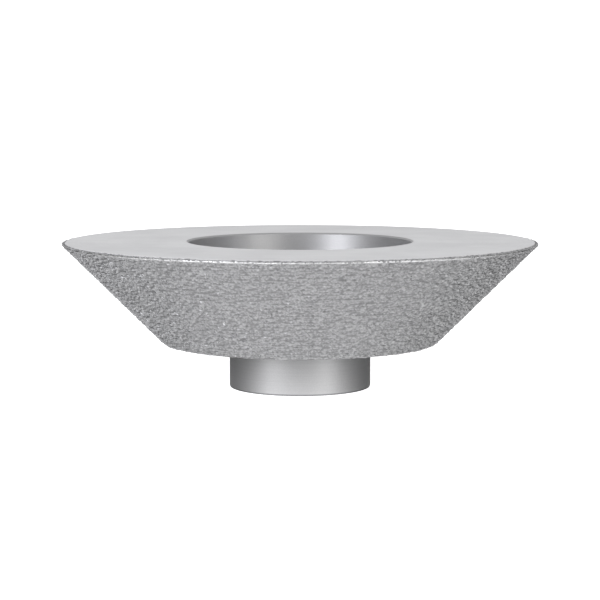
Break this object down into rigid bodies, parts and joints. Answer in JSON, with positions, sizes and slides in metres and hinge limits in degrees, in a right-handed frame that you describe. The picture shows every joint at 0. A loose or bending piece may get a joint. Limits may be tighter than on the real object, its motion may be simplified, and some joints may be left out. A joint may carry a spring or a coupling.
{
  "type": "diamond grinding wheel",
  "caption": "Cone-shaped grinding wheel with a diamond-coated 45 degree flank, a flat wide face with a round recess, and a threaded hub for a hand grinder.",
  "frame": {"origin": "centre of the hub's seat face, which bears on the grinder's spindle shoulder and on which the wheel stands", "axes": "+Z along the wheel's spin axis, from the seat face towards the wide face; the wheel is round, so X and Y are free"},
  "size_m": [0.075, 0.075, 0.0232],
  "materials": {
    "body_steel": "satin",
    "hub_steel": "satin",
    "braze_fillet": "satin",
    "braze_bond": "satin",
    "diamond_grit": "satin"
  },
  "bodies": {
    "root": {"wheel_body": "body_steel", "threaded_hub": "hub_steel", "base_braze_fillet": "braze_fillet", "collar_braze_fillet": "braze_fillet", "braze_bond": "braze_bond", "diamond_grit": "diamond_grit"}
  },
  "joints": []
}
